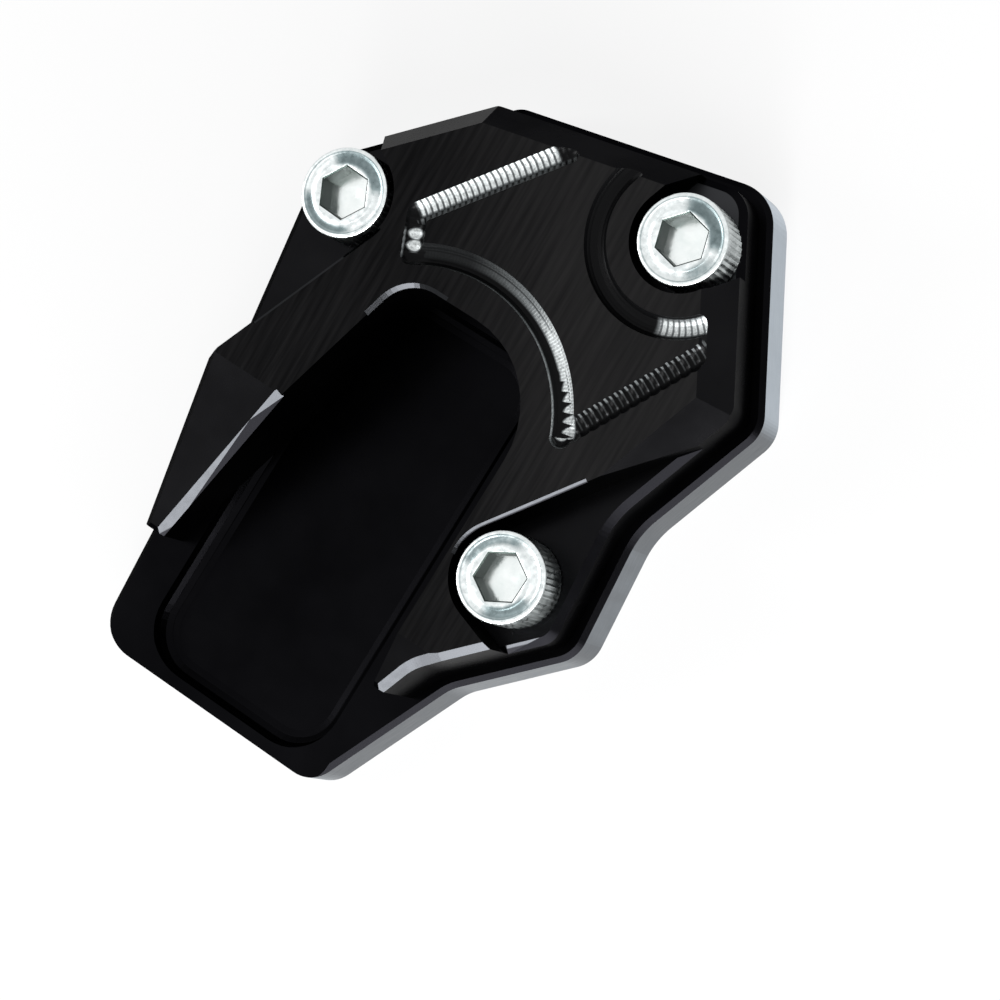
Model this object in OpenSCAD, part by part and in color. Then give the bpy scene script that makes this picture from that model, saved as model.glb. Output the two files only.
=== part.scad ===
// Kickstand foot enlarger: a wide foot plate, a horseshoe clamp and three socket head cap screws.
// Plan positions are measured from the axis of the rear screw, +Y towards the closed head of the
// clamp and +X towards the stand's outer side. The whole part is then centred on its own box.

/* [Foot plate] */
// Thickness of the foot plate
plate_t = 6.5; // [5:0.5:10]
// Bevel round the upper edge of the foot plate
plate_bevel = 0.6; // [0.3:0.1:1.2]
// Distance from the rear screw back to the tail end
tail_back = 31.4; // [30.5:0.1:34]
// Distance from the rear screw forward to the shoulder corner
shoulder_ahead = 49.2; // [48.5:0.1:51]
// Distance from the rear screw out to the widest corner on the right
wing_out = 12.5; // [11.5:0.1:14]
// Distance from the rear screw across to the widest corner on the left
cheek_out = 46.8; // [46:0.1:49]
// Left tail corner: place across and corner radius
tail_left = [-41, 4.5];
// Right tail corner: place across and corner radius
tail_right = [-10.2, 4];
// Waist between tail and rear ear, a hollow corner: position and corner radius
waist = [-2.2, -14.1, 6];
// Rear ear that carries the rear screw: position and corner radius
ear = [8.1, -3.8, 4];
// Hollow corner ahead of the rear ear: position and corner radius
hip = [6.7, 10.9, 10];
// Widest corner on the right: place ahead of the rear screw and corner radius
wing = [27, 4];
// Shoulder corner beside the right screw: place across and corner radius
shoulder = [-0.5, 5];
// Crown corner at the top of the head: position and corner radius
crown = [-30.5, 43.2, 3];
// Cheek corner beside the left screw: place ahead of the rear screw and corner radius
cheek = [27.5, 5];
// Bend in the left side: position and corner radius
flank = [-43.5, 5, 16];
// Width of the bevel along the tail end
tail_bevel_w = 3.2; // [1:0.1:5]
// Fall of the bevel along the tail end
tail_bevel_h = 0.9; // [0.2:0.1:2]

/* [Foot pocket] */
// Depth of the pocket that the stand's foot pad sits in
pocket_depth = 2.5; // [1:0.1:4]
// Width of the foot pocket
pocket_w = 25; // [18:0.5:28]
// Distance from the rear screw to the pocket's right side
pocket_right = 11.2; // [10:0.1:13]
// Width of the rim between the pocket and the tail end
pocket_rim = 1.4; // [1:0.1:5]
// Corner radius of the foot pocket
pocket_r = 6; // [4:0.5:10]
// Radius left by the cutter between the pocket's floor and its sides
pocket_fillet = 2; // [0.5:0.1:2.4]

/* [Clamp plate] */
// Thickness of the clamp plate
clamp_t = 11.5; // [9:0.5:16]
// How far the clamp's side stands in from the foot plate's side
clamp_inset = 1.4; // [0.8:0.1:3]
// Distance from the rear screw back to the arm tips
arm_back = 17.2; // [10:0.1:20]
// Width of the sloping facets round the head
facet_w = 2.8; // [1:0.1:4]
// Fall of the sloping facets round the head
facet_h = 4.6; // [2:0.1:5]
// Width of the bright edge chamfers
edge_chamfer = 0.8; // [0.3:0.1:1.2]
// Slope of the ramped arm tips, in degrees
ramp_angle = 16; // [5:1:20]
// Where the left arm's ramp starts, ahead of the rear screw
ramp_left_y = 3.4; // [-4:0.1:4]
// Where the right arm's ramp starts, ahead of the rear screw
ramp_right_y = -10.8; // [-13:0.1:-9]

/* [Slot for the stand] */
// Distance from the rear screw to the slot's right side
slot_right = 6.4; // [6.2:0.1:8]
// Distance from the rear screw forward to the slot's closed end
slot_end = 21.3; // [18:0.1:22]
// Width of the slot at its closed end, before rounding
slot_end_w = 20.2; // [16:0.1:22]
// Angle by which the slot's left side flares, in degrees
slot_flare = 16.5; // [5:0.5:18]
// Corner radius at the right of the closed end
slot_r_right = 10.8; // [5:0.1:11]
// Corner radius at the left of the closed end
slot_r_left = 4.8; // [3:0.1:6]
// Width of the chamfer round that corner's upper edge
slot_chamfer = 0.45; // [0.2:0.05:0.8]

/* [Screws] */
// Right screw: position from the rear screw
right_screw_at = [-2.5, 39.7];
// Left screw: position from the rear screw
left_screw_at = [-38, 25.3];
// Diameter of the screw shank
screw_d = 6; // [5:0.5:6]
// Length of the screw shank under the head
screw_len = 10; // [8:0.5:11]
// Diameter of the screw head
head_d = 10; // [9:0.5:10]
// Height of the screw head
head_h = 6; // [5:0.5:7]
// Width across the flats of the hex socket
socket_af = 5; // [4:0.5:5]
// Depth of the hex socket
socket_depth = 3; // [2:0.5:3.5]
// Number of ridges round the knurled head
knurl_count = 36; // [24:1:48]
// Depth of the knurling
knurl_depth = 0.22; // [0.1:0.02:0.3]
// Radial clearance round each screw head in its seat
head_gap = 0.75; // [0.4:0.05:0.8]
// Width of the fine chamfer on the seats' upper edges
seat_chamfer = 0.35; // [0.1:0.05:0.5]
// Radial clearance round each shank in the clamp plate
shank_gap = 0.3; // [0.1:0.05:0.5]
// Radial clearance round each shank in the foot plate
thread_gap = 0.05; // [0.02:0.01:0.1]

/* [Milled decoration] */
// Inner radius of the ring groove round the right screw
ring_r = 8.2; // [7:0.1:9]
// Radius of the ball cutter that milled the grooves
groove_r = 1.25; // [0.8:0.05:1.6]
// Depth of the grooves
groove_depth = 1; // [0.5:0.05:1.2]
// Step between two cutter marks in the groove by the crown
crown_step = 0.69; // [0.6:0.01:1]
// Step between two cutter marks in the groove by the wing
wing_step = 1.25; // [1:0.05:1.5]
// Radius of the curved stretch of the groove round the slot's end
groove_bend_r = 17.6; // [16.5:0.1:18]
// Centre of the curved stretch, measured from the rear screw
groove_centre = [-18.5, 8.5];
// Angle at which the curved stretch starts, in degrees
groove_from = 24; // [20:1:35]
// Angle at which the curved stretch ends, in degrees
groove_to = 121; // [110:1:125]
// Corner where the groove by the crown turns towards the curved stretch
groove_turn = [-29.4, 27.6];
// End of the straight groove near the crown
groove_crown_end = [-18.3, 41.3];
// End of the straight groove near the wing
groove_wing_end = [6, 30.6];

/* [Hidden] */

eps = 0.01;
far = 60;
arc_steps = 10;
seat_steps = 24;
rear_screw_at = [0, 0];
screws_at = [left_screw_at, right_screw_at, rear_screw_at];
waist_i = 2;
flank_i = 9;
clamp_top = plate_t + clamp_t;
seat_z = clamp_top - head_h;
seat_r = head_d / 2 + head_gap;
pocket_z = plate_t - pocket_depth;
slot_middle = -slot_right - slot_end_w / 2;
groove_z = clamp_top + groove_r - groove_depth;
groove_half = sqrt(groove_r * groove_r - (groove_r - groove_depth) * (groove_r - groove_depth));
// First and last direction in which the cutter ran out of each seat, in degrees from +X
left_headings = [150, 246];
right_headings = [70, 70];
rear_headings = [-17.6, 53.6];
black = "#2b2b2e";
steel = "#c9cdd0";

// Corners in anticlockwise order, each as x, y, radius
plate_corners = [
    [tail_left[0], -tail_back, tail_left[1]],
    [tail_right[0], -tail_back, tail_right[1]],
    waist,
    ear,
    hip,
    [wing_out, wing[0], wing[1]],
    [shoulder[0], shoulder_ahead, shoulder[1]],
    crown,
    [-cheek_out, cheek[0], cheek[1]],
    flank
];
plate_outline = rounded(plate_corners);
plate_xs = [for (p = plate_outline) p[0]];
plate_ys = [for (p = plate_outline) p[1]];
box_centre = [(min(plate_xs) + max(plate_xs)) / 2, (min(plate_ys) + max(plate_ys)) / 2];

clamp_corners = inset(plate_corners, clamp_inset);
clamp_outline = rounded(clamp_corners);
slot_tail_y = -arm_back - 5;
slot_mouth_r = 0.5;
slot_corners = [
    [-slot_right, slot_tail_y, slot_mouth_r],
    [-slot_right, slot_end, slot_r_right],
    [-slot_right - slot_end_w, slot_end, slot_r_left],
    [-slot_right - slot_end_w - (slot_end - slot_tail_y) * tan(slot_flare), slot_tail_y, slot_mouth_r]
];
slot_outline = rounded(slot_corners);

function flat(p) = [p[0], p[1]];
function unit(v) = v / norm(v);
function left_of(v) = [-v[1], v[0]];
function right_of(v) = [v[1], -v[0]];
function along(angle) = [cos(angle), sin(angle)];
function cross2(a, b) = a[0] * b[1] - a[1] * b[0];

function sum_of(v, i = 0) = i >= len(v) ? 0 : v[i] + sum_of(v, i + 1);

// Where the line through a along u meets the line through b along v
function meet(a, u, b, v) = a + u * cross2(b - a, v) / cross2(u, v);

// A corner list moved inwards by d, with each corner's radius kept concentric
function inset(corners, d) = [
    for (i = [0 : len(corners) - 1])
        let (
            n = len(corners),
            a = flat(corners[(i + n - 1) % n]),
            b = flat(corners[i]),
            c = flat(corners[(i + 1) % n]),
            u = unit(b - a),
            v = unit(c - b),
            p = meet(b + d * left_of(u), u, b + d * left_of(v), v),
            hollow = cross2(u, v) < 0,
            r = hollow ? corners[i][2] + d : max(corners[i][2] - d, 0.4)
        )
        [p[0], p[1], r]
];

// The outline of a corner list, with each corner turned into an arc of its radius
function rounded(corners) = [
    for (i = [0 : len(corners) - 1])
        let (
            n = len(corners),
            b = flat(corners[i]),
            u = unit(flat(corners[(i + n - 1) % n]) - b),
            v = unit(flat(corners[(i + 1) % n]) - b),
            half = acos(u * v) / 2,
            r = corners[i][2],
            centre = b + unit(u + v) * r / sin(half),
            from = b + u * r / tan(half) - centre,
            turn = (cross2(-u, v) > 0 ? 1 : -1) * (180 - 2 * half)
        )
        for (k = [0 : arc_steps])
            let (a = turn * k / arc_steps)
            centre + [from[0] * cos(a) - from[1] * sin(a), from[0] * sin(a) + from[1] * cos(a)]
];

// A prism between two outlines with equally many points, each end closed by a fan from its middle
module loft(lower, upper, z0, z1) {
    n = len(lower);
    middle = [for (axis = [0, 1]) sum_of([for (p = lower) p[axis]]) / n];
    points = concat(
        [for (p = lower) [p[0], p[1], z0]],
        [for (p = upper) [p[0], p[1], z1]],
        [[middle[0], middle[1], z0], [middle[0], middle[1], z1]]
    );
    low_hub = 2 * n;
    high_hub = 2 * n + 1;
    faces = [
        for (i = [0 : n - 1])
            let (j = (i + 1) % n)
            each [[i, i + n, j + n], [i, j + n, j], [i, j, low_hub], [j + n, i + n, high_hub]]
    ];
    polyhedron(points, faces);
}

// The space above a plane that contains the level line a to b and falls away to its right
module above_slope(a, b, z, angle, over) {
    d = b - a;
    translate([a[0], a[1], z])
        rotate([0, 0, atan2(d[1], d[0])])
            rotate([angle, 0, 0])
                translate([-over, -far, 0])
                    cube([norm(d) + 2 * over, far, far]);
}

// Wedge that chamfers the edge running along a path, with the open side to the path's right
module edge_cut(path, width) {
    spare = 0.4;
    last = len(path) - 1;
    points = [
        for (i = [0 : last])
            let (
                p = path[i],
                side = right_of(unit(flat(path[min(i + 1, last)]) - flat(path[max(i - 1, 0)]))),
                inner = flat(p) - (width + spare) * side,
                outer = flat(p) + spare * side
            )
            each [
                [inner[0], inner[1], p[2] + spare],
                [outer[0], outer[1], p[2] + spare],
                [outer[0], outer[1], p[2] - width - spare]
            ]
    ];
    walls = [
        for (i = [0 : last - 1], k = [0 : 2])
            let (a = 3 * i, b = 3 * (i + 1), m = (k + 1) % 3)
            each [[a + k, b + k, b + m], [a + k, b + m, a + m]]
    ];
    polyhedron(points, concat(walls, [[0, 1, 2], [3 * last, 3 * last + 2, 3 * last + 1]]));
}

module centred() {
    translate([-box_centre[0], -box_centre[1], 0])
        children();
}

// Foot pad pocket: straight sides above, and a floor rounded into them by the cutter
module foot_pocket() {
    right = -pocket_right;
    left = right - pocket_w;
    back = -tail_back + pocket_rim;
    corners = [
        [left, back, pocket_r],
        [right, back, pocket_r],
        [right, slot_end - 1, pocket_r],
        [left, slot_end - 1, pocket_r]
    ];
    steps = 4;
    translate([0, 0, pocket_z + pocket_fillet])
        linear_extrude(pocket_depth)
            polygon(rounded(corners));
    for (k = [0 : steps - 1]) {
        low = 90 * k / steps;
        high = 90 * (k + 1) / steps;
        loft(
            rounded(inset(corners, pocket_fillet * (1 - sin(low)))),
            rounded(inset(corners, pocket_fillet * (1 - sin(high)))),
            pocket_z + pocket_fillet * (1 - cos(low)) - (k == 0 ? 0 : eps),
            pocket_z + pocket_fillet * (1 - cos(high)) + eps
        );
    }
}

module base_plate() {
    wall_h = plate_t - plate_bevel;
    color(black)
        centred()
            difference() {
                union() {
                    linear_extrude(wall_h)
                        polygon(plate_outline);
                    loft(plate_outline, rounded(inset(plate_corners, plate_bevel)), wall_h - eps, plate_t);
                }
                foot_pocket();
                // Bevel along the tail end
                above_slope(
                    [tail_left[0], -tail_back + tail_bevel_w],
                    [tail_right[0], -tail_back + tail_bevel_w],
                    plate_t,
                    atan(tail_bevel_h / tail_bevel_w),
                    far
                );
                for (p = screws_at)
                    translate([p[0], p[1], -1])
                        cylinder(r = screw_d / 2 + thread_gap, h = plate_t + 2, $fn = 64);
            }
}

// The round side of a seat, clockwise between the directions in which the cutter ran out
function seat_arc(at, headings) =
    let (first = headings[0] - 90, turn = headings[0] + 180 - headings[1])
    [for (k = [0 : seat_steps]) at + seat_r * along(first - turn * k / seat_steps)];

// Seat for a screw head: cut down to the seat's level and run out through the clamp's side
module head_seat(at, headings) {
    arc = seat_arc(at, headings);
    translate([0, 0, seat_z])
        linear_extrude(head_h + 1)
            polygon(concat(
                [arc[0] + far / 2 * along(headings[0])],
                arc,
                [arc[seat_steps] + far / 2 * along(headings[1])]
            ));
}

module head_seats() {
    head_seat(left_screw_at, left_headings);
    head_seat(right_screw_at, right_headings);
    head_seat(rear_screw_at, rear_headings);
}

// Fine chamfer on a seat's upper edge, from the middle of one step of its arc and on along the run-out
module seat_edge(at, headings, first, run) {
    arc = seat_arc(at, headings);
    edge = concat(
        [(arc[first] + arc[first + 1]) / 2],
        [for (k = [first + 1 : seat_steps]) arc[k]],
        [arc[seat_steps] + run * along(headings[1])]
    );
    edge_cut([for (p = edge) [p[0], p[1], clamp_top]], seat_chamfer);
}

// Facet that falls away outwards from the clamp's top along the edge between two of its corners
module head_facet(corners, i) {
    a = flat(corners[i]);
    b = flat(corners[(i + 1) % len(corners)]);
    shift = facet_w * left_of(unit(b - a));
    facet_spare = 0.5;
    intersection() {
        above_slope(a + shift, b + shift, clamp_top, atan(facet_h / facet_w), 2 * facet_w);
        translate([-far, -far, clamp_top - facet_h - facet_spare])
            cube([2 * far, 2 * far, facet_h + facet_spare + 1]);
    }
}

// Ramp that lowers an arm towards its tip, kept to one side of the slot's middle
module arm_ramp(start_y, side) {
    intersection() {
        above_slope([-far, start_y], [far, start_y], clamp_top, ramp_angle, far);
        translate([side > 0 ? slot_middle : slot_middle - 2 * far, -2 * far, 0])
            cube([2 * far, 3 * far, clamp_top + 1]);
    }
}

// A point of the line from a to b at the given y, raised to the top of an arm whose ramp starts there
function on_arm(a, b, y, start_y) =
    let (p = flat(a) + (flat(b) - flat(a)) * (y - a[1]) / (b[1] - a[1]))
    [p[0], p[1], arm_z(y, start_y)];

function arm_z(y, start_y) = clamp_top + min(0, y - start_y) * tan(ramp_angle);

// Chamfers on the arms' edges, which follow the ramps down to the tips
module arm_edges() {
    tip_y = -arm_back;
    tail_i = waist_i - 1;
    ear_i = waist_i + 1;
    n = arc_steps + 1;
    waist_arc = [for (k = [waist_i * n : waist_i * n + arc_steps]) clamp_outline[k]];
    // Right arm, from the tip round the waist to the rear seat
    edge_cut(
        concat(
            [on_arm(clamp_corners[tail_i], clamp_corners[waist_i], tip_y - 1, ramp_right_y)],
            [for (p = waist_arc) [p[0], p[1], arm_z(p[1], ramp_right_y)]],
            [
                on_arm(clamp_corners[waist_i], clamp_corners[ear_i], ramp_right_y, ramp_right_y),
                on_arm(clamp_corners[waist_i], clamp_corners[ear_i], -seat_r, ramp_right_y)
            ]
        ),
        edge_chamfer
    );
    // Left arm, outer edge from the left seat to the tip
    edge_cut(
        [
            on_arm(clamp_corners[flank_i - 1], clamp_corners[flank_i], 2 * seat_r, ramp_left_y),
            [clamp_corners[flank_i][0], clamp_corners[flank_i][1], clamp_top],
            on_arm(clamp_corners[flank_i], clamp_corners[0], ramp_left_y, ramp_left_y),
            on_arm(clamp_corners[flank_i], clamp_corners[0], tip_y - 1, ramp_left_y)
        ],
        edge_chamfer
    );
    // Left corner of the slot's closed end
    edge_cut(
        [
            for (p = concat(
                [on_arm(slot_corners[3], slot_corners[2], slot_end - 1.2 * slot_r_left, slot_end)],
                [for (k = [3 * n - 1 : -1 : 2 * n]) slot_outline[k]],
                [[slot_corners[2][0] + 1.1 * slot_r_left, slot_end]]
            ))
                [p[0], p[1], clamp_top]
        ],
        slot_chamfer
    );
    // Left arm, edge at the slot along the ramp
    edge_cut(
        [
            on_arm(slot_corners[3], slot_corners[2], tip_y - 1, ramp_left_y),
            on_arm(slot_corners[3], slot_corners[2], ramp_left_y, ramp_left_y)
        ],
        edge_chamfer
    );
    // Ends of both arms
    for (end = [[-far, slot_middle, ramp_left_y], [slot_middle, far, ramp_right_y]])
        edge_cut(
            [[end[0], tip_y, arm_z(tip_y, end[2])], [end[1], tip_y, arm_z(tip_y, end[2])]],
            edge_chamfer / 2
        );
}

// Chamfer on the clamp's outer edge where the seats lower it
module seat_rims() {
    drop = 0.4;
    intersection() {
        difference() {
            translate([0, 0, seat_z - edge_chamfer - drop / 2])
                linear_extrude(edge_chamfer + 1)
                    polygon(rounded(inset(clamp_corners, -1)));
            loft(
                rounded(inset(clamp_corners, -drop)),
                rounded(inset(clamp_corners, edge_chamfer + 1)),
                seat_z - edge_chamfer - drop,
                seat_z + 1
            );
        }
        translate([0, 0, -2 * edge_chamfer])
            head_seats();
    }
}

// Section of a milled groove, with a rounded floor and upright sides above it
module groove_section() {
    floor_points = [for (k = [0 : arc_steps]) groove_r * along(180 + 180 * k / arc_steps)];
    polygon(concat(floor_points, [[groove_r, 1], [-groove_r, 1]]));
}

// Curved groove round the slot's end, run out at both ends in straight ones milled in short steps
module groove() {
    arc_from = groove_centre + groove_bend_r * along(groove_from);
    arc_to = groove_centre + groove_bend_r * along(groove_to);
    translate([groove_centre[0], groove_centre[1], groove_z])
        rotate([0, 0, groove_from])
            rotate_extrude(angle = groove_to - groove_from, $fn = 128)
                translate([groove_bend_r, 0])
                    groove_section();
    stepped_groove(arc_from, groove_wing_end, wing_step);
    stepped_groove(groove_turn, groove_crown_end, crown_step);
    stepped_groove(arc_to, groove_turn, crown_step);
}

// Straight groove from a to b, sunk by a ball cutter one step after another
module stepped_groove(a, b, step) {
    n = round(norm(b - a) / step);
    for (k = [0 : n])
        let (p = a + (b - a) * k / n)
        translate([p[0], p[1], groove_z])
            sphere(r = groove_r, $fn = 48);
}

// Round groove that frames the right screw's land
module ring_groove() {
    translate([right_screw_at[0], right_screw_at[1], groove_z])
        rotate_extrude($fn = 128)
            translate([ring_r + groove_half, 0])
                groove_section();
}

module slot() {
    translate([0, 0, plate_t - 1])
        linear_extrude(clamp_t + 2)
            polygon(slot_outline);
}

module clamp_plate() {
    color(black)
        centred()
            difference() {
                translate([0, 0, plate_t])
                    linear_extrude(clamp_t)
                        intersection() {
                            polygon(clamp_outline);
                            translate([-far, -arm_back])
                                square([2 * far, 2 * far]);
                        }
                slot();
                for (i = [4, 5, 6, 7])
                    head_facet(clamp_corners, i);
                arm_ramp(ramp_left_y, -1);
                arm_ramp(ramp_right_y, 1);
                head_seats();
                seat_rims();
                arm_edges();
                seat_edge(rear_screw_at, rear_headings, 14, 12.2);
                seat_edge(left_screw_at, left_headings, 20, 16);
                for (p = screws_at)
                    translate([p[0], p[1], plate_t - 1])
                        cylinder(r = screw_d / 2 + shank_gap, h = clamp_t, $fn = 64);
                ring_groove();
                groove();
            }
}

// Socket head cap screw, seated on the clamp's seat level
module cap_screw(at) {
    rim = 0.45;
    // The turned rims are cut a little outside the ridges
    side_r = head_d / 2 + 0.08;
    socket_mouth = 0.3;
    drill_h = socket_af / 6;
    color(steel)
        centred()
            translate([at[0], at[1], seat_z])
                difference() {
                    union() {
                        translate([0, 0, -screw_len])
                            cylinder(d = screw_d, h = screw_len + eps, $fn = 64);
                        intersection() {
                            linear_extrude(head_h)
                                polygon(knurled_outline());
                            rotate_extrude($fn = 96)
                                polygon([
                                    [0, -1],
                                    [side_r - 1.2 * rim, -1],
                                    [side_r - 1.2 * rim, 0],
                                    [side_r, rim],
                                    [side_r, head_h - 2 * rim],
                                    [side_r - 1.2 * rim, head_h - rim / 2],
                                    [side_r - 2 * rim, head_h],
                                    [side_r - 2 * rim, head_h + 1],
                                    [0, head_h + 1]
                                ]);
                        }
                    }
                    translate([0, 0, head_h - socket_depth])
                        cylinder(d = socket_af / cos(30), h = socket_depth + 1, $fn = 6);
                    // Drill point below the socket and countersink at its mouth
                    translate([0, 0, head_h - socket_depth - drill_h])
                        cylinder(r1 = 0.1, r2 = socket_af / 2, h = drill_h + eps, $fn = 48);
                    translate([0, 0, head_h - socket_mouth])
                        cylinder(r1 = socket_af / 2, r2 = socket_af / 2 + 1, h = 1, $fn = 48);
                }
}

function knurled_outline() = [
    for (k = [0 : 2 * knurl_count - 1])
        let (a = 180 * (k + 0.3) / knurl_count, r = head_d / 2 - (k % 2 == 0 ? 0 : knurl_depth))
        r * along(a)
];

module clamp_screw_left() {
    cap_screw(left_screw_at);
}

module clamp_screw_right() {
    cap_screw(right_screw_at);
}

module clamp_screw_rear() {
    cap_screw(rear_screw_at);
}

base_plate();
clamp_plate();
clamp_screw_left();
clamp_screw_right();
clamp_screw_rear();
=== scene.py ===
import math

import bpy
from mathutils import Matrix, Vector


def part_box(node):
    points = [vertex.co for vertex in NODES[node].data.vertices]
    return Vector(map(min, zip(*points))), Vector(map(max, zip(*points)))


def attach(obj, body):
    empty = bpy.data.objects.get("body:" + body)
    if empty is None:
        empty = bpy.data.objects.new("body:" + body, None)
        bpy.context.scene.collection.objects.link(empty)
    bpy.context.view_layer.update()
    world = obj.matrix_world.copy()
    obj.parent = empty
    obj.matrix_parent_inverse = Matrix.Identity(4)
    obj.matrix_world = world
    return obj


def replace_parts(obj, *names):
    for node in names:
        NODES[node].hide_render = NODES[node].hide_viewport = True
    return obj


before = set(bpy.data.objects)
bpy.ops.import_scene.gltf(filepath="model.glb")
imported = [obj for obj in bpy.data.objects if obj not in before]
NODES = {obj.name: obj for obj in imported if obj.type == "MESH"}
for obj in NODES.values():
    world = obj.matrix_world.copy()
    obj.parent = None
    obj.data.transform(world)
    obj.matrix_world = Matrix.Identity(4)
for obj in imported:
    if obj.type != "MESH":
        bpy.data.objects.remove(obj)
MM = 0.001
bpy.context.scene.view_settings.view_transform = "Standard"


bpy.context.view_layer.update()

# Levels and the rear screw's axis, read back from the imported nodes
PLATE_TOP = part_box("base_plate")[1].z
CLAMP_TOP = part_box("clamp_plate")[1].z
TOP_Z = CLAMP_TOP / MM
HEAD_H = 6.0
SEAT_Z = TOP_Z - HEAD_H
rear_low, rear_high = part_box("clamp_screw_rear")
REAR_AXIS = Vector(((rear_low.x + rear_high.x) / 2, (rear_low.y + rear_high.y) / 2, 0))

# Places in plan, in millimetres from the rear screw's axis; a stretch of the groove has a line
# that its painted highlights follow, and where needed a second one that picks its faces
SCREWS_AT = ((-38, 25.3), (-2.5, 39.7), (0, 0))
CROWN_LINE = ((-29.4, 27.6), (-18.3, 41.3))
CROWN_FACES = ((-29.0, 28.1), (-18.3, 41.3))
TURN_LINE = ((-27.6, 23.6), (-29.4, 27.6))
WING_LINE = ((-2.42, 15.66), (6, 30.6))
WING_FACES = ((-2.4, 15.7), (6, 30.6))
BEND_CENTRE, BEND_R = (-18.5, 8.5), 17.6
BEND_FROM, BEND_TO = 24, 118
RING_CENTRE, RING_R = SCREWS_AT[1], 9.45
GROOVE_HALF = 1.35


# ---------------------------------------------------------------- camera
FOCAL_PX, IMAGE_PX, SENSOR = 3500.0, 1000.0, 36.0
ANCHOR_PX = (500, 577)    # the centre of the rear screw's head in the photo
CAMERA_DISTANCE = 384.1 * MM


def add_camera():
    tilt, lean, roll = (math.radians(v) for v in (20.06, 21.26, 57.0))
    up = Vector((
        -math.sin(tilt) * math.cos(lean),
        -math.sin(tilt) * math.sin(lean),
        -math.cos(tilt),
    ))
    y = Vector((math.cos(roll), -math.sin(roll), 0))
    y = (y - up * y.dot(up)).normalized()
    x = y.cross(up)
    # Rows of this matrix are the camera's right, down and forward in the object's frame
    turn = Matrix((x, y, up)).transposed()
    right, down, forward = (Vector(turn[i]) for i in range(3))
    # The camera moves sideways until the anchor's ray meets the rear head's centre
    across, below = (v - IMAGE_PX / 2 for v in ANCHOR_PX)
    ray = right * (across / FOCAL_PX) + down * (below / FOCAL_PX) + forward
    origin = -forward * CAMERA_DISTANCE
    hit = origin + ray * ((CLAMP_TOP - origin.z) / ray.z)
    origin += Vector((REAR_AXIS.x - hit.x, REAR_AXIS.y - hit.y, 0))
    data = bpy.data.cameras.new("camera")
    data.sensor_width = SENSOR
    data.lens = FOCAL_PX * SENSOR / IMAGE_PX
    data.clip_start = 0.01
    data.clip_end = 20
    cam = bpy.data.objects.new("camera", data)
    cam.matrix_world = Matrix((
        (right.x, -down.x, -forward.x, origin.x),
        (right.y, -down.y, -forward.y, origin.y),
        (right.z, -down.z, -forward.z, origin.z),
        (0, 0, 0, 1),
    ))
    bpy.context.scene.collection.objects.link(cam)
    bpy.context.scene.camera = cam


add_camera()


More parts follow.
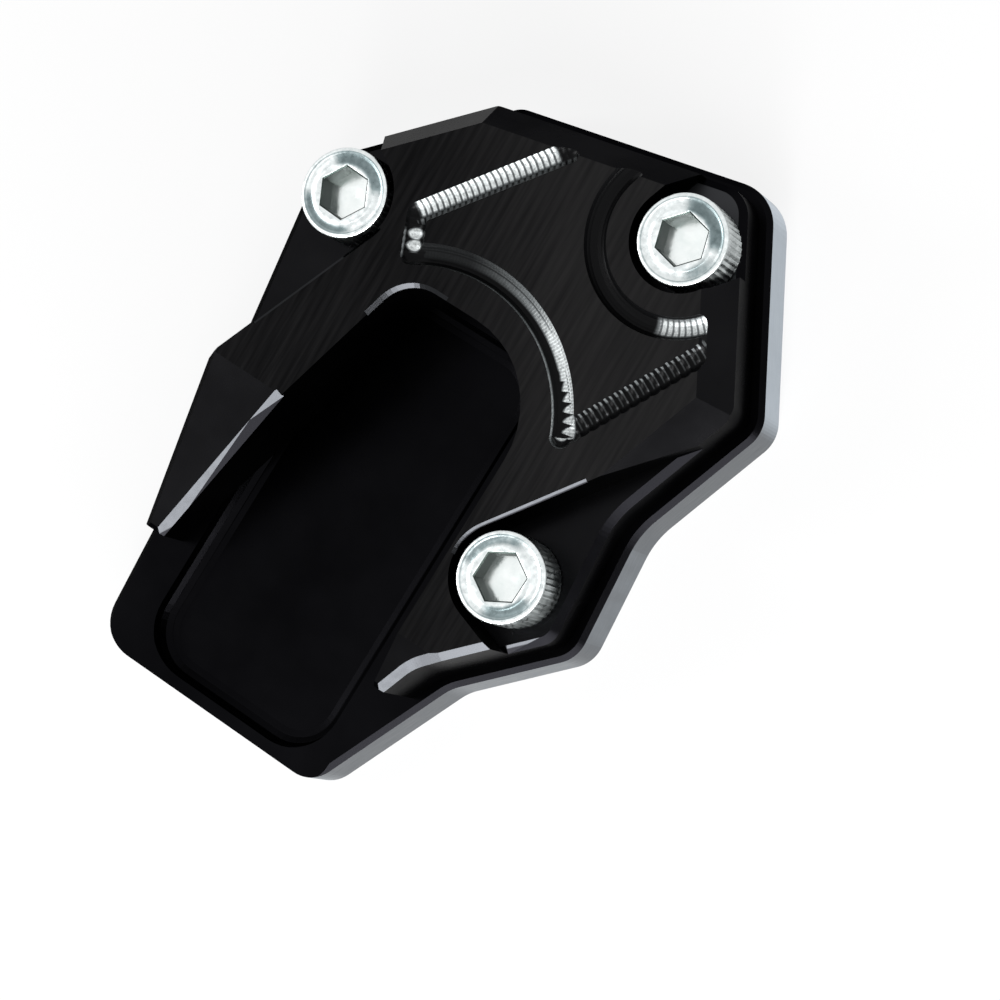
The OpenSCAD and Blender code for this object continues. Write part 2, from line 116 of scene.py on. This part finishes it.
# ---------------------------------------------------------------- node helpers
class Graph:
    """Small helper that makes a material's nodes and links."""

    def __init__(self, name):
        self.material = bpy.data.materials.new(name)
        self.material.use_nodes = True
        self.tree = self.material.node_tree
        self.shader = self.tree.nodes["Principled BSDF"]
        self.bumps = None
        self.place = None

    def node(self, kind, **settings):
        n = self.tree.nodes.new(kind)
        for key, value in settings.items():
            setattr(n, key, value)
        return n

    def link(self, source, target):
        self.tree.links.new(source, target)

    def put(self, target, value):
        if hasattr(value, "links"):
            self.link(value, target)
        else:
            target.default_value = value

    def position(self):
        if self.place is None:
            self.place = self.node("ShaderNodeTexCoord").outputs["Object"]
        return self.place

    def scaled(self, scale, turn=0.0):
        m = self.node("ShaderNodeMapping")
        self.link(self.position(), m.inputs["Vector"])
        m.inputs["Rotation"].default_value = (0, 0, turn)
        m.inputs["Scale"].default_value = scale
        return m.outputs["Vector"]

    def axes(self, vector):
        """The three parts of a vector, under the names X, Y and Z."""
        n = self.node("ShaderNodeSeparateXYZ")
        self.link(vector, n.inputs["Vector"])
        return n.outputs

    def noise(self, vector, scale, detail=3.0):
        n = self.node("ShaderNodeTexNoise")
        self.link(vector, n.inputs["Vector"])
        n.inputs["Scale"].default_value = scale
        n.inputs["Detail"].default_value = detail
        n.inputs["Roughness"].default_value = 0.55
        return n.outputs["Fac"]

    def math(self, operation, a, b=0.0):
        n = self.node("ShaderNodeMath", operation=operation)
        self.put(n.inputs[0], a)
        self.put(n.inputs[1], b)
        return n.outputs[0]

    def add(self, a, b):
        return self.math("ADD", a, b)

    def less(self, a, b):
        return self.math("SUBTRACT", a, b)

    def times(self, first, *others):
        for other in others:
            first = self.math("MULTIPLY", first, other)
        return first

    def most(self, a, b):
        return self.math("MAXIMUM", a, b)

    def length(self, x, y):
        return self.math("POWER", self.add(self.times(x, x), self.times(y, y)), 0.5)

    def ramp(self, value, low, high, to_low, to_high):
        n = self.node("ShaderNodeMapRange")
        self.link(value, n.inputs["Value"])
        ends = (("From Min", low), ("From Max", high), ("To Min", to_low), ("To Max", to_high))
        for key, v in ends:
            n.inputs[key].default_value = v
        return n.outputs["Result"]

    def colours(self, value, stops):
        n = self.node("ShaderNodeValToRGB")
        self.link(value, n.inputs["Fac"])
        elements = n.color_ramp.elements
        for element, (place, colour) in zip(elements, (stops[0], stops[-1])):
            element.position, element.color = place, (*colour, 1)
        for place, colour in stops[1:-1]:
            elements.new(place).color = (*colour, 1)
        return n.outputs["Color"]

    def window(self, value, low, high, soft):
        """One between low and high, and nought outside, with soft ends."""
        rise = self.ramp(value, low - soft, low + soft, 0.0, 1.0)
        fall = self.ramp(value, high - soft, high + soft, 1.0, 0.0)
        return self.times(rise, fall)

    def plan(self):
        """Millimetres to the right of and ahead of the rear screw's axis."""
        place = self.axes(self.position())
        x = self.times(self.less(place["X"], REAR_AXIS.x), 1 / MM)
        y = self.times(self.less(place["Y"], REAR_AXIS.y), 1 / MM)
        return x, y

    def along_line(self, line):
        """Millimetres along a line from its first end, and to its left."""
        (ax, ay), (bx, by) = line
        size = math.hypot(bx - ax, by - ay)
        dx, dy = (bx - ax) / size, (by - ay) / size
        x, y = self.plan()
        x, y = self.less(x, ax), self.less(y, ay)
        along = self.add(self.times(x, dx), self.times(y, dy))
        left = self.less(self.times(y, dx), self.times(x, dy))
        return along, left

    def round_centre(self, centre, radius):
        """Millimetres along a circle, from its right-hand side on, and outside it."""
        x, y = self.plan()
        x, y = self.less(x, centre[0]), self.less(y, centre[1])
        along = self.times(self.math("ARCTAN2", y, x), radius)
        return along, self.less(self.length(x, y), radius)

    def bars(self, along, pitch, gap):
        """One on each rib of a painted highlight, spaced like cutter marks, nought in the gap
        between two.
        """
        part = self.math("FRACT", self.times(along, 1 / pitch))
        middle = self.math("ABSOLUTE", self.less(part, 0.5))
        return self.ramp(middle, 0.5 - gap, 0.5 - gap + 0.1, 1.0, 0.0)

    def bump(self, height, strength, distance):
        """Adds relief on top of the relief so far; distance is in metres."""
        n = self.node("ShaderNodeBump")
        n.inputs["Strength"].default_value = strength
        n.inputs["Distance"].default_value = distance
        self.link(height, n.inputs["Height"])
        if self.bumps is not None:
            self.link(self.bumps, n.inputs["Normal"])
        self.bumps = n.outputs["Normal"]

    def finish(self, **sockets):
        for key, value in sockets.items():
            self.put(self.shader.inputs[key.replace("_", " ")], value)
        if self.bumps is not None:
            self.link(self.bumps, self.shader.inputs["Normal"])
        return self.material


def grey(value):
    return value, value, value, 1


# ---------------------------------------------------------------- materials
GLOSSY_EDGE = (0.021, 0.022, 0.024)


def black_anodised(name, tone, rough, tint):
    """Black anodised aluminium: dark metal with a fine grain, slight clouds and tool lines."""
    g = Graph(name)
    cloud = g.noise(g.position(), 90.0)
    grain = g.noise(g.position(), 9000.0, 2.0)
    lines = g.noise(g.scaled((9000, 220, 600)), 1.0, 2.0)
    g.bump(grain, 0.25, 0.000005)
    g.bump(lines, 0.22, 0.000006)
    dark, light = (tuple(share * c for c in tone) for share in (0.8, 1.2))
    return g.finish(
        Base_Color=g.colours(cloud, [(0.3, dark), (0.7, light)]),
        Metallic=1.0,
        Specular_Tint=grey(tint),
        Roughness=g.ramp(cloud, 0.3, 0.7, rough - 0.04, rough + 0.05),
    )


def banded_edge(name, height):
    """A chamfer that is black below a height in millimetres and glossy above it."""
    g = Graph(name)
    place = g.axes(g.position())
    edge_noise = g.noise(g.position(), 900.0)
    z = g.add(g.times(place["Z"], 1 / MM), g.times(g.less(edge_noise, 0.5), 0.1))
    shine = g.ramp(z, height - 0.05, height + 0.05, 0.0, 1.0)
    g.bump(edge_noise, 0.2, 0.00001)
    return g.finish(
        Base_Color=g.colours(shine, [(0.0, (0.004, 0.004, 0.0046)), (1.0, GLOSSY_EDGE)]),
        Metallic=1.0,
        Specular_Tint=grey(0.5),
        Roughness=g.ramp(edge_noise, 0.3, 0.7, 0.15, 0.24),
    )


def milled_top():
    """The clamp's level top: uneven rows left by the cutter, and painted shade that makes it darker
    towards the left.
    """
    row_pitch, row_turn, lighter_towards = 1.1 * MM, math.radians(-6.0), math.radians(33)
    g = Graph("milled_top")
    wander = g.noise(g.scaled((60, 14, 1)), 1.0, 2.0)
    turned = g.axes(g.scaled((1, 1, 1), row_turn))
    row = g.math("FRACT", g.add(g.times(turned["X"], 1 / row_pitch), g.times(wander, 1.6)))
    ridge = g.math("ABSOLUTE", g.less(row, 0.5))
    fine = g.noise(g.scaled((6500, 170, 1)), 1.0, 2.0)
    streak = g.noise(g.scaled((2300, 70, 1)), 1.0, 2.0)
    patch = g.noise(g.scaled((420, 90, 1)), 1.0)
    g.bump(g.times(ridge, g.ramp(patch, 0.35, 0.65, 0.15, 0.8)), 0.35, 0.00003)
    g.bump(fine, 0.3, 0.000016)
    shade = g.add(g.times(ridge, 0.35), g.times(streak, 0.8))
    shade = g.add(shade, g.times(patch, 0.5))
    # Painted shade: the whole top darkens towards the left and lightens a little towards the right.
    x, y = g.plan()
    right = g.add(g.times(x, math.cos(lighter_towards)), g.times(y, math.sin(lighter_towards)))
    shade = g.less(shade, g.ramp(right, -9.0, 8.0, 0.46, -0.1))
    return g.finish(
        Base_Color=g.colours(shade, [
            (0.10, (0.0048, 0.0048, 0.0051)),
            (0.45, (0.0092, 0.0091, 0.0095)),
            (1.05, (0.0168, 0.0165, 0.0168)),
        ]),
        Metallic=1.0,
        Specular_Tint=grey(0.38),
        Roughness=g.ramp(fine, 0.3, 0.7, 0.30, 0.44),
    )


def groove_with_painted_highlights(name, painted_highlights):
    """A black groove with painted highlights: light metal colour where the painted highlights give
    one, black where they give nought.
    """
    g = Graph(name)
    shine = painted_highlights(g)
    scratches = g.noise(g.position(), 4200.0)
    shine = g.times(shine, g.ramp(scratches, 0.3, 0.6, 0.7, 1.0))
    g.bump(scratches, 0.35, 0.00002)
    return g.finish(
        Base_Color=g.colours(shine, [
            (0.0, (0.0045, 0.0046, 0.005)),
            (0.5, (0.20, 0.215, 0.22)),
            (1.0, (0.86, 0.90, 0.90)),
        ]),
        Metallic=0.35,
        Specular_IOR_Level=0.08,
        Roughness=g.ramp(shine, 0.0, 1.0, 0.3, 0.42),
    )


# Painted highlights are laid out in millimetres along and across each stretch of the groove
def crown_painted_highlights(g):
    """Painted highlights: white ribs on the outer flank, and faint teeth on the inner one."""
    pitch = 0.69
    along, left = g.along_line(CROWN_LINE)
    ribs = g.ramp(g.bars(along, pitch, 0.22), 0.0, 1.0, 0.3, 1.0)
    lit = g.times(g.window(along, 0.1, 16.4, 0.25), g.window(left, -0.35, 1.4, 0.2), ribs)
    teeth = g.times(g.window(left, -1.3, -0.5, 0.12), g.bars(g.add(along, 0.3), pitch, 0.25))
    return g.most(lit, g.times(teeth, 0.2))


def turn_painted_highlights(g):
    """Painted highlights: two bright beads and a thin light edge."""
    pitch, start, radius = 1.3, 0.35, 0.64
    along, left = g.along_line(TURN_LINE)
    part = g.less(g.math("FRACT", g.times(g.less(along, start), 1 / pitch)), 0.5)
    away = g.length(g.times(part, pitch), g.times(g.add(left, -0.1), 0.8))
    beads = g.ramp(away, radius - 0.12, radius + 0.08, 1.0, 0.0)
    beads = g.times(beads, g.window(along, 0.3, 2.95, 0.1))
    edge = g.times(g.window(along, -0.8, 2.6, 0.3), g.window(left, 1.08, 1.4, 0.05))
    return g.most(beads, g.times(edge, 0.42))


def bend_painted_highlights(g):
    """Painted highlights: a band on the outer flank, toothed by the wing and faded by the turn, and
    an inner edge.
    """
    fine_pitch, tooth_pitch = 0.36, 1.12
    along, out = g.round_centre(BEND_CENTRE, BEND_R)
    arc = math.radians(BEND_R)    # millimetres for each degree of the bend
    fade = g.math("POWER", g.ramp(along, 60 * arc, 100 * arc, 1.0, 0.12), 1.6)
    late = g.ramp(along, 33 * arc, 48 * arc, 1.0, 0.0)
    fine = g.ramp(g.bars(along, fine_pitch, 0.34), 0.0, 1.0, 0.82, 1.0)
    saw = g.math("FRACT", g.times(g.add(along, g.times(out, 0.25)), 1 / tooth_pitch))
    tooth = g.times(saw, saw, 1.3, late)
    inner = g.ramp(g.less(out, tooth), -0.34, -0.12, 0.0, 1.0)
    outer = g.ramp(out, 1.08, 1.3, 1.0, 0.0)
    # A painted dark line along the highlight band, whole beyond 70 degrees and dotted from 34 to 46
    line = g.ramp(g.math("ABSOLUTE", g.less(out, 0.55)), 0.03, 0.12, 1.0, 0.0)
    dots = g.times(g.window(along, 34 * arc, 46 * arc, 1.0), g.bars(along, fine_pitch, 0.3))
    early = g.most(g.ramp(along, 58 * arc, 70 * arc, 0.0, 1.0), dots)
    line = g.less(1.0, g.times(line, early, 0.75))
    lit = g.times(inner, outer, line, fine, fade, 0.95)
    edge = g.ramp(along, 88 * arc, 112 * arc, 0.62, 0.12)
    return g.most(lit, g.times(g.window(out, -1.4, -1.1, 0.05), edge))


def ring_painted_highlights(g):
    """Painted highlights: bright ribs across most of the groove, on its side towards the right and
    the tail.
    """
    along, out = g.round_centre(RING_CENTRE, RING_R)
    arc = math.radians(RING_R)
    ribs = g.ramp(g.bars(along, 0.66, 0.22), 0.0, 1.0, 0.5, 1.0)
    side = g.window(along, -74 * arc, -20 * arc, 0.4)
    return g.times(side, g.window(out, -0.95, 0.7, 0.15), ribs)


def wing_painted_highlights(g):
    """Painted highlights: a bright spot with a light rim at the start, then small dull ticks."""
    pitch = 0.625
    along, left = g.along_line(WING_LINE)
    spot = g.ramp(g.length(g.less(along, 0.05), g.less(left, 0.45)), 0.62, 0.8, 1.0, 0.0)
    rim = g.window(g.length(along, left), 1.1, 1.4, 0.05)
    start = g.most(spot, g.times(rim, g.ramp(along, -0.5, 0.3, 0.6, 0.0)))
    ticks = g.times(g.bars(along, pitch, 0.36), g.window(left, 0.85, 1.4, 0.1), 0.42)
    cross = g.times(g.bars(along, pitch, 0.42), g.window(left, -0.3, 0.9, 0.1), 0.12)
    return g.most(start, g.most(ticks, cross))


def side_wall():
    """The foot plate's bare milled side, with painted light and shade: its colour is lighter or
    darker by the side's direction.
    """
    # Direction in plan, in degrees, and the painted brightness there
    painted_light_by_direction = (
        (-90, 0.25), (-55, 0.15), (-45, 0.125), (-20, 0.08), (2, 0.10),
        (13, 0.24), (30, 0.41), (48, 0.52), (65, 0.58), (90, 0.25),
    )
    g = Graph("bare_side")
    lines = g.noise(g.scaled((400, 400, 9000)), 1.0)
    cloud = g.noise(g.scaled((500, 500, 60)), 1.0)
    normal = g.axes(g.node("ShaderNodeNewGeometry").outputs["Normal"])
    turn = g.times(g.math("ARCTAN2", normal["Y"], normal["X"]), 180 / math.pi)
    turn = g.add(turn, g.times(g.less(cloud, 0.5), 8.0))
    g.bump(lines, 0.3, 0.00001)
    return g.finish(
        Base_Color=g.colours(g.ramp(turn, -90.0, 90.0, 0.0, 1.0), [
            ((angle + 90) / 180, (0.86 * v, 0.98 * v, 1.10 * v)) for angle, v in painted_light_by_direction
        ]),
        Metallic=1.0,
        Roughness=g.ramp(lines, 0.3, 0.7, 0.30, 0.44),
    )


def head_top(name, painted_reflections):
    """Top of a screw head: turned and zinc plated, with painted reflections, dark blue-green
    crescents, in parts of its ring.

    Each painted reflection is its middle direction and half width in degrees, inner radius and
    strength.
    """
    head_d, ring_out = 10.0, 4.42
    g = Graph(name)
    place = g.axes(g.node("ShaderNodeTexCoord").outputs["Generated"])
    x, y = (g.times(g.less(place[axis], 0.5), head_d) for axis in ("X", "Y"))
    away = g.length(x, y)
    reflection_shade = None
    for middle, half, inner, strength in painted_reflections:
        cosine, sine = math.cos(math.radians(middle)), math.sin(math.radians(middle))
        ahead = g.add(g.times(x, cosine), g.times(y, sine))
        facing = g.math("DIVIDE", ahead, g.most(away, 0.1))
        ends = (math.cos(math.radians(half + soft)) for soft in (9, -9))
        part = g.times(g.ramp(facing, *ends, 0.0, strength), g.window(away, inner, ring_out, 0.2))
        reflection_shade = part if reflection_shade is None else g.most(reflection_shade, part)
    speck = g.noise(g.position(), 1700.0)
    edge = g.times(g.window(away, ring_out, 4.56, 0.05), 0.3)
    shade = g.less(g.less(g.ramp(speck, 0.3, 0.7, 0.84, 1.0), reflection_shade), edge)
    g.bump(speck, 0.28, 0.00004)
    tangent = g.node("ShaderNodeTangent", direction_type="RADIAL", axis="Z")
    return g.finish(
        Base_Color=g.colours(shade, [
            (0.0, (0.04, 0.065, 0.07)), (0.5, (0.26, 0.32, 0.33)), (1.0, (0.84, 0.88, 0.88)),
        ]),
        Metallic=1.0,
        Roughness=g.ramp(speck, 0.3, 0.7, 0.24, 0.38),
        Anisotropic=0.6,
        Tangent=tangent.outputs["Tangent"],
    )


def zinc_steel(name, dark, light, rough, relief):
    """Zinc plated steel: mottled plating over a forged surface."""
    g = Graph(name)
    cloud = g.noise(g.position(), 420.0, 4.0)
    dents = g.noise(g.position(), 1500.0, 2.0)
    grain = g.noise(g.position(), 5200.0, 2.0)
    g.bump(dents, relief, 0.00004)
    g.bump(grain, 0.25, 0.00001)
    return g.finish(
        Base_Color=g.colours(cloud, [(0.32, dark), (0.6, light)]),
        Metallic=1.0,
        Roughness=g.ramp(cloud, 0.3, 0.7, rough, rough + 0.14),
    )


BLACK = black_anodised("black_anodised", (0.0082, 0.0082, 0.009), 0.26, 0.47)
BLACK_PLATE = black_anodised("black_plate", (0.0034, 0.0034, 0.0040), 0.30, 0.44)
SILVER = side_wall()
CLAMP_MATERIALS = {
    "plain": BLACK,
    "level": milled_top(),
    "chamfer": black_anodised("polished_edge", GLOSSY_EDGE, 0.16, 0.5),
    "crown": groove_with_painted_highlights("groove_by_crown", crown_painted_highlights),
    "turn": groove_with_painted_highlights("groove_turn", turn_painted_highlights),
    "bend": groove_with_painted_highlights("groove_bend", bend_painted_highlights),
    "ring": groove_with_painted_highlights("groove_ring", ring_painted_highlights),
    "wing": groove_with_painted_highlights("groove_by_wing", wing_painted_highlights),
    "worn seat": black_anodised("lighter_seat", (0.036, 0.037, 0.040), 0.36, 0.48),
    "seat edge": banded_edge("seat_edge", 17.76),
    "rim edge": banded_edge("rim_edge", 11.7),
    "dull edge": BLACK_PLATE,
}
ZINC = zinc_steel("zinc_steel", (0.55, 0.60, 0.60), (0.84, 0.87, 0.87), 0.2, 0.3)
# The socket's floor gets a brighter, smoother copy of the zinc: painted light at the bottom of the
# socket.
SOCKET_FLOOR_LIT = zinc_steel("socket_floor", (0.80, 0.86, 0.85), (0.95, 0.99, 0.98), 0.12, 0.16)
# The socket's walls get a near-black copy of the zinc: painted shade inside the socket.
SOCKET_WALL_SHADE = zinc_steel("socket_wall", (0.022, 0.032, 0.030), (0.055, 0.070, 0.064), 0.42, 0.2)
KNURL = zinc_steel("knurled_side", (0.24, 0.27, 0.27), (0.52, 0.56, 0.56), 0.22, 0.3)


# ---------------------------------------------------------------- plates
def dress(node, materials, choose):
    """Gives a CAD node its materials face by face; its shape stays as it is."""
    mesh = NODES[node].data
    mesh.materials.clear()
    slots = {}
    for key, material in materials.items():
        slots[key] = len(slots)
        mesh.materials.append(material)
    for p in mesh.polygons:
        p.material_index = slots[choose(p)]
    mesh.update()


def in_mm(c):
    """A point in millimetres, measured from the rear screw's axis."""
    return (c.x - REAR_AXIS.x) / MM, (c.y - REAR_AXIS.y) / MM, c.z / MM


def base_face(p):
    """The foot plate's outer side is bare metal; its bevel, top and pocket are black."""
    bevel, hole_r, pocket_floor = 0.6, 3.4, 4.0
    left, right, tail, head = -36.25, -11.1, -30.05, 21    # round the pocket
    x, y, z = in_mm(p.center)
    if z >= PLATE_TOP / MM - bevel or abs(p.normal.z) >= 0.3:
        return "black"
    if any(math.hypot(x - sx, y - sy) < hole_r for sx, sy in SCREWS_AT):
        return "black"
    in_pocket = left < x < right and tail < y < head and z > pocket_floor - 0.1
    return "black" if in_pocket else "silver"


def clamp_face(p):
    """Level top, chamfers, the stretches of the grooves, and everything else."""
    n = p.normal
    x, y, z = in_mm(p.center)
    if n.z > 0.999 and z > TOP_Z - 0.02:
        return "level"
    stretch = groove_stretch(x, y)
    if stretch and TOP_Z - 1.1 < z < TOP_Z - 0.001:
        return stretch
    # The right seat's floor gets a lighter black than the rest of the clamp.
    if abs(z - SEAT_Z) < 0.02 and n.z > 0.99 and x > -12 and y > 31 and x + y > 33:
        return "worn seat"
    if not 0.64 < n.z < 0.76:
        return "plain"
    if z > TOP_Z - 1:
        return "seat edge" if x > -6.5 and y > 0 else "chamfer"
    # Lower chamfers that face the front lamp get the glossy-topped edge and the others the darkest
    # black: painted light and shade by facing.
    facing = math.degrees(math.atan2(n.y, n.x))
    return "rim edge" if -85 < facing < -20 and y < -5 else "dull edge"


def groove_stretch(x, y):
    """Name of the groove's stretch that holds a point, or None."""
    bx, by = x - BEND_CENTRE[0], y - BEND_CENTRE[1]
    turn = math.degrees(math.atan2(by, bx))
    if abs(math.hypot(bx, by) - BEND_R) < GROOVE_HALF and BEND_FROM <= turn < BEND_TO:
        return "bend"
    for name, line in (("crown", CROWN_FACES), ("turn", TURN_LINE), ("wing", WING_FACES)):
        if near(x, y, *line):
            return name
    away = math.hypot(x - RING_CENTRE[0], y - RING_CENTRE[1])
    return "ring" if abs(away - RING_R) < GROOVE_HALF else None


def near(x, y, a, b):
    """True within a groove's half width of the line from a to b."""
    dx, dy = b[0] - a[0], b[1] - a[1]
    t = min(1, max(0, ((x - a[0]) * dx + (y - a[1]) * dy) / (dx * dx + dy * dy)))
    return math.hypot(x - a[0] - t * dx, y - a[1] - t * dy) < GROOVE_HALF


dress("base_plate", {"black": BLACK_PLATE, "silver": SILVER}, base_face)
dress("clamp_plate", CLAMP_MATERIALS, clamp_face)


# ---------------------------------------------------------------- screws
# Each of these gives a radius in millimetres for a direction in radians
def hexagon(flats, turn, size=1.0):
    """A hexagon; one of its corners points to turn degrees."""
    def at(angle):
        part = (angle - math.radians(turn)) % (math.pi / 3) - math.pi / 6
        return size * (flats / 2 / math.cos(part))
    return at


def knurled(radius, depth, ridges=48):
    def at(angle):
        part = angle * ridges / (2 * math.pi) % 1
        return radius - depth * (1 - abs(2 * part - 1)) ** 0.8
    return at


def plain(radius):
    return lambda angle: radius


def threaded(z, radius, depth, pitch):
    def at(angle):
        part = (z / pitch + angle / (2 * math.pi)) % 1
        return radius - depth * min(1, max(0, 1.25 * abs(2 * part - 1) - 0.12))
    return at


SCREW_COLUMNS = 240
THREAD_STEP = 0.125
TOP_SIDE, SOCKET_SIDE, KNURL_SIDE, SHANK, FLOOR_SIDE = range(5)


def screw_rows(turn):
    """Rows from the socket's floor over the head and down to the tip: shape, depth, finish."""
    flats = 5.0
    rows = [
        # socket
        (plain(1.3), 2.85, FLOOR_SIDE), (hexagon(flats, turn), 2.8, FLOOR_SIDE),
        (hexagon(flats, turn), 0.16, SOCKET_SIDE), (hexagon(flats, turn, 1.055), 0.02, SOCKET_SIDE),
        # top, with its hollow ring and rolled rim
        (hexagon(flats, turn, 1.075), 0.0, TOP_SIDE), (plain(3.34), 0.0, TOP_SIDE),
        (plain(3.44), 0.03, TOP_SIDE), (plain(3.6), 0.11, TOP_SIDE), (plain(4.15), 0.12, TOP_SIDE),
        (plain(4.3), 0.08, TOP_SIDE), (plain(4.42), 0.015, TOP_SIDE), (plain(4.52), 0.0, TOP_SIDE),
        (plain(4.72), 0.01, TOP_SIDE), (plain(4.86), 0.07, TOP_SIDE), (plain(4.94), 0.2, TOP_SIDE),
        # knurled side
        (plain(4.96), 0.38, KNURL_SIDE), (knurled(4.98, 0.12), 0.55, KNURL_SIDE),
        (knurled(5.0, 0.2), 0.72, KNURL_SIDE), (knurled(5.0, 0.2), 5.5, KNURL_SIDE),
        (knurled(4.95, 0.1), 5.68, KNURL_SIDE), (plain(4.72), 5.86, KNURL_SIDE),
        # underside and neck
        (plain(4.5), 5.99, SHANK), (plain(3.02), 5.99, SHANK), (plain(2.95), 6.25, SHANK),
    ]
    z = TOP_Z - 6.4
    while z > TOP_Z - 15.5:
        rows.append((threaded(z, 2.98, 0.5, 1.0), TOP_Z - z, SHANK))
        z -= THREAD_STEP
    return rows + [(plain(2.4), 15.75, SHANK), (plain(2.2), 15.98, SHANK)]


def add_screw(name, at, socket_turn, head):
    """Socket head cap screw M6 x 10 with rolled rim, hollow ring, knurled side and thread."""
    rows = screw_rows(socket_turn)
    columns = SCREW_COLUMNS
    cx, cy = REAR_AXIS.x + at[0] * MM, REAR_AXIS.y + at[1] * MM
    points = [(cx, cy, (TOP_Z - 3.02) * MM)]
    for radius, depth, _ in rows:
        for k in range(columns):
            a = math.radians(socket_turn) + 2 * math.pi * k / columns
            r = radius(a) * MM
            points.append((cx + r * math.cos(a), cy + r * math.sin(a), (TOP_Z - depth) * MM))
    points.append((cx, cy, (TOP_Z - rows[-1][1]) * MM))
    faces, slots = [], []
    last = len(points) - 1
    for k in range(columns):
        j = (k + 1) % columns
        faces.append((0, 1 + k, 1 + j))
        slots.append(FLOOR_SIDE)
        for r in range(len(rows) - 1):
            a, b = 1 + r * columns, 1 + (r + 1) * columns
            faces.append((a + k, b + k, b + j, a + j))
            slots.append(rows[r + 1][2])
        a = 1 + (len(rows) - 1) * columns
        faces.append((a + k, last, a + j))
        slots.append(SHANK)
    mesh = bpy.data.meshes.new(name)
    mesh.from_pydata(points, [], faces)
    for m in (head, SOCKET_WALL_SHADE, KNURL, ZINC, SOCKET_FLOOR_LIT):
        mesh.materials.append(m)
    for p, slot in zip(mesh.polygons, slots):
        p.material_index = slot
        p.use_smooth = slot == TOP_SIDE
    mesh.update()
    piece = bpy.data.objects.new(name, mesh)
    bpy.context.scene.collection.objects.link(piece)
    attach(piece, "root")
    return piece


# Side, direction of a socket corner in degrees, and painted reflections on the head
SCREWS = (
    ("left", 57, [(83, 52, 3.1, 0.62), (258, 48, 3.7, 0.6)]),
    ("right", 46.6, [(62, 48, 3.0, 0.66), (330, 20, 3.2, 0.35)]),
    ("rear", 29, [(140, 50, 3.5, 0.42), (312, 36, 3.2, 0.55)]),
)
for at, (side, turn, painted_reflections) in zip(SCREWS_AT, SCREWS):
    head = head_top("head_top_" + side, painted_reflections)
    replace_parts(add_screw("screw_" + side, at, turn, head), "clamp_screw_" + side)


# ---------------------------------------------------------------- floor, world and lights
def add_floor():
    """Pale floor: it looks nearly white by its own share, and the rest keeps the shadow."""
    half, own_share, drop = 3.0, 0.85, 0.02 * MM
    mesh = bpy.data.meshes.new("floor")
    corners = [(-half, -half, 0), (half, -half, 0), (half, half, 0), (-half, half, 0)]
    mesh.from_pydata(corners, [], [(0, 1, 2, 3)])
    floor = bpy.data.objects.new("floor", mesh)
    bpy.context.scene.collection.objects.link(floor)
    g = Graph("floor")
    g.finish(Base_Color=grey(0.9), Roughness=0.9)
    glow = g.node("ShaderNodeEmission")
    glow.inputs["Color"].default_value = grey(1)
    glow.inputs["Strength"].default_value = 1.0
    mix = g.node("ShaderNodeMixShader")
    path = g.node("ShaderNodeLightPath")
    seen = g.most(path.outputs["Is Camera Ray"], path.outputs["Is Glossy Ray"])
    seen = g.most(seen, path.outputs["Is Transmission Ray"])
    g.link(g.times(seen, own_share), mix.inputs["Fac"])
    g.link(g.shader.outputs[0], mix.inputs[1])
    g.link(glow.outputs[0], mix.inputs[2])
    g.link(mix.outputs[0], g.tree.nodes["Material Output"].inputs["Surface"])
    mesh.materials.append(g.material)
    floor.location.z = -drop


def add_world(strength):
    """Light of a given strength, seen as white by the camera and in reflections."""
    world = bpy.data.worlds.new("world")
    bpy.context.scene.world = world
    world.use_nodes = True
    tree = world.node_tree
    back = tree.nodes["Background"]
    back.inputs["Color"].default_value = (0.97, 0.985, 1.0, 1)
    back.inputs["Strength"].default_value = strength
    seen = tree.nodes.new("ShaderNodeBackground")
    seen.inputs["Color"].default_value = grey(1)
    seen.inputs["Strength"].default_value = 1.0
    mix = tree.nodes.new("ShaderNodeMixShader")
    path = tree.nodes.new("ShaderNodeLightPath")
    either = tree.nodes.new("ShaderNodeMath")
    either.operation = "MAXIMUM"
    tree.links.new(path.outputs["Is Camera Ray"], either.inputs[0])
    tree.links.new(path.outputs["Is Glossy Ray"], either.inputs[1])
    tree.links.new(either.outputs[0], mix.inputs["Fac"])
    tree.links.new(back.outputs[0], mix.inputs[1])
    tree.links.new(seen.outputs[0], mix.inputs[2])
    tree.links.new(mix.outputs[0], tree.nodes["World Output"].inputs["Surface"])


def add_softbox(name, azimuth, elevation, size, radiance):
    """A soft lamp that looks at the part, given by the radiance that a mirror would show."""
    distance = 0.9
    data = bpy.data.lights.new(name, "AREA")
    data.shape = "RECTANGLE"
    data.size, data.size_y = size
    data.energy = radiance * math.pi * size[0] * size[1]
    lamp = bpy.data.objects.new(name, data)
    az, el = math.radians(azimuth), math.radians(elevation)
    towards = Vector((math.cos(el) * math.cos(az), math.cos(el) * math.sin(az), math.sin(el)))
    lamp.location = towards * distance
    lamp.rotation_euler = (-lamp.location).to_track_quat("-Z", "Y").to_euler()
    bpy.context.scene.collection.objects.link(lamp)


add_floor()
add_world(0.2)
# A low strip in front for the chamfers, an upright one for the groove by the crown,
# and one on the left for the bend
add_softbox("front_strip", -46, 12, (1.5, 0.26), 20.0)
add_softbox("upright_strip", -61, 42, (0.16, 0.62), 15.0)
add_softbox("left_strip", 208, 30, (0.2, 0.62), 9.0)
